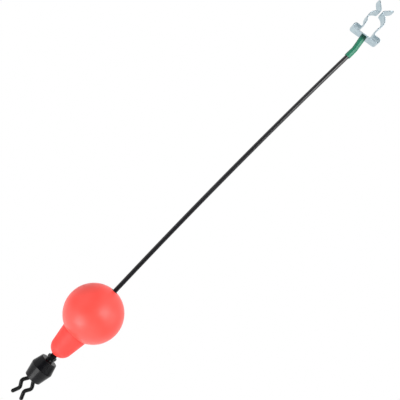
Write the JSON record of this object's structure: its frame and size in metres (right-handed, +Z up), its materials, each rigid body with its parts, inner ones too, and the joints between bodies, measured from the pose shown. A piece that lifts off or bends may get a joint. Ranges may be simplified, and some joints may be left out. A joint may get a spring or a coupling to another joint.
{
  "type": "swing-arm bite indicator float",
  "caption": "Ball float bobbin on a slim bowed arm, with a spring steel stick clip on a flexible rubber link at one end and a sprung line clip with a tension barrel at the other.",
  "frame": {"origin": "centre of the spring clip's bore, halfway along its width", "axes": "+Z up, towards the clip's mouth, with the arm hanging down -Z; +Y along the stick that the clip grips; +X to the right of the swing plane, right-handed"},
  "size_m": [0.037, 0.037, 0.3224],
  "materials": {
    "clip_steel": "bright zinc plated",
    "rivet_steel": "plain",
    "green_rubber": "smooth soft silicone",
    "arm_black": "satin",
    "coral_shell": "semi-gloss",
    "inner_plastic": "plain",
    "ballast_metal": "plain",
    "brass_insert": "turned",
    "black_plastic": "moulded, slight sheen",
    "arm_wire": "moulded, slight sheen"
  },
  "bodies": {
    "spring_clip": {"clip_base": "clip_steel", "clip_rivet": "rivet_steel"},
    "left_jaw": {"clip_jaw_left": "clip_steel"},
    "right_jaw": {"clip_jaw_right": "clip_steel"},
    "rubber_link": {"rubber_tube": "green_rubber"},
    "arm": {"arm_rod": "arm_black", "ball_upper_shell": "coral_shell", "ball_lower_shell": "coral_shell", "core_tube": "inner_plastic", "neck_cone": "coral_shell", "ballast_ring": "ballast_metal", "threaded_insert": "brass_insert", "clip_stem": "black_plastic", "lock_nut": "black_plastic", "line_fork": "black_plastic"},
    "tension_slider": {"tension_ring": "black_plastic"},
    "barrel": {"tension_barrel": "black_plastic"},
    "left_line_arm": {"line_arm_left": "arm_wire"},
    "right_line_arm": {"line_arm_right": "arm_wire"}
  },
  "joints": [
    {"name": "left_jaw_spring", "type": "hinge", "parent": "spring_clip", "child": "left_jaw", "pos_m": [-0.00334, 0, -0.00784], "axis": [0, -1, 0], "range_deg": [0, 20], "stiffness_Nm_per_rad": 0.8},
    {"name": "right_jaw_spring", "type": "hinge", "parent": "spring_clip", "child": "right_jaw", "pos_m": [0.00537, 0, -0.00662], "axis": [0, 1, 0], "range_deg": [0, 20], "stiffness_Nm_per_rad": 0.8},
    {"name": "link_sway", "type": "hinge", "parent": "spring_clip", "child": "rubber_link", "pos_m": [0.00239, 0, -0.01703], "axis": [1, 0, 0], "range_deg": [-75, 75], "deforming": ["rubber_tube"]},
    {"name": "arm_swing", "type": "hinge", "parent": "rubber_link", "child": "arm", "pos_m": [0.00285, 0, -0.02027], "axis": [0, 1, 0], "range_deg": [-75, 75], "deforming": ["rubber_tube"]},
    {"name": "tension_slide", "type": "slide", "parent": "arm", "child": "tension_slider", "axis": [0, 0, -1], "range_m": [-0.0005, 0.001]},
    {"name": "barrel_turn", "type": "hinge", "parent": "tension_slider", "child": "barrel", "pos_m": [-0.00185, 0, -0.28868], "axis": [0, 0, -1], "range_deg": [-180.1, 360.1]},
    {"name": "left_line_arm_spring", "type": "hinge", "parent": "arm", "child": "left_line_arm", "pos_m": [-0.00405, 0, -0.29333], "axis": [0, 1, 0], "range_deg": [0, 4], "stiffness_Nm_per_rad": 0.3},
    {"name": "right_line_arm_spring", "type": "hinge", "parent": "arm", "child": "right_line_arm", "pos_m": [0.00035, 0, -0.29333], "axis": [0, -1, 0], "range_deg": [0, 4], "stiffness_Nm_per_rad": 0.3}
  ],
  "couplings": [
    {"joint": "barrel_turn", "follows": "tension_slide", "rad_per_m": 6283.2}
  ]
}
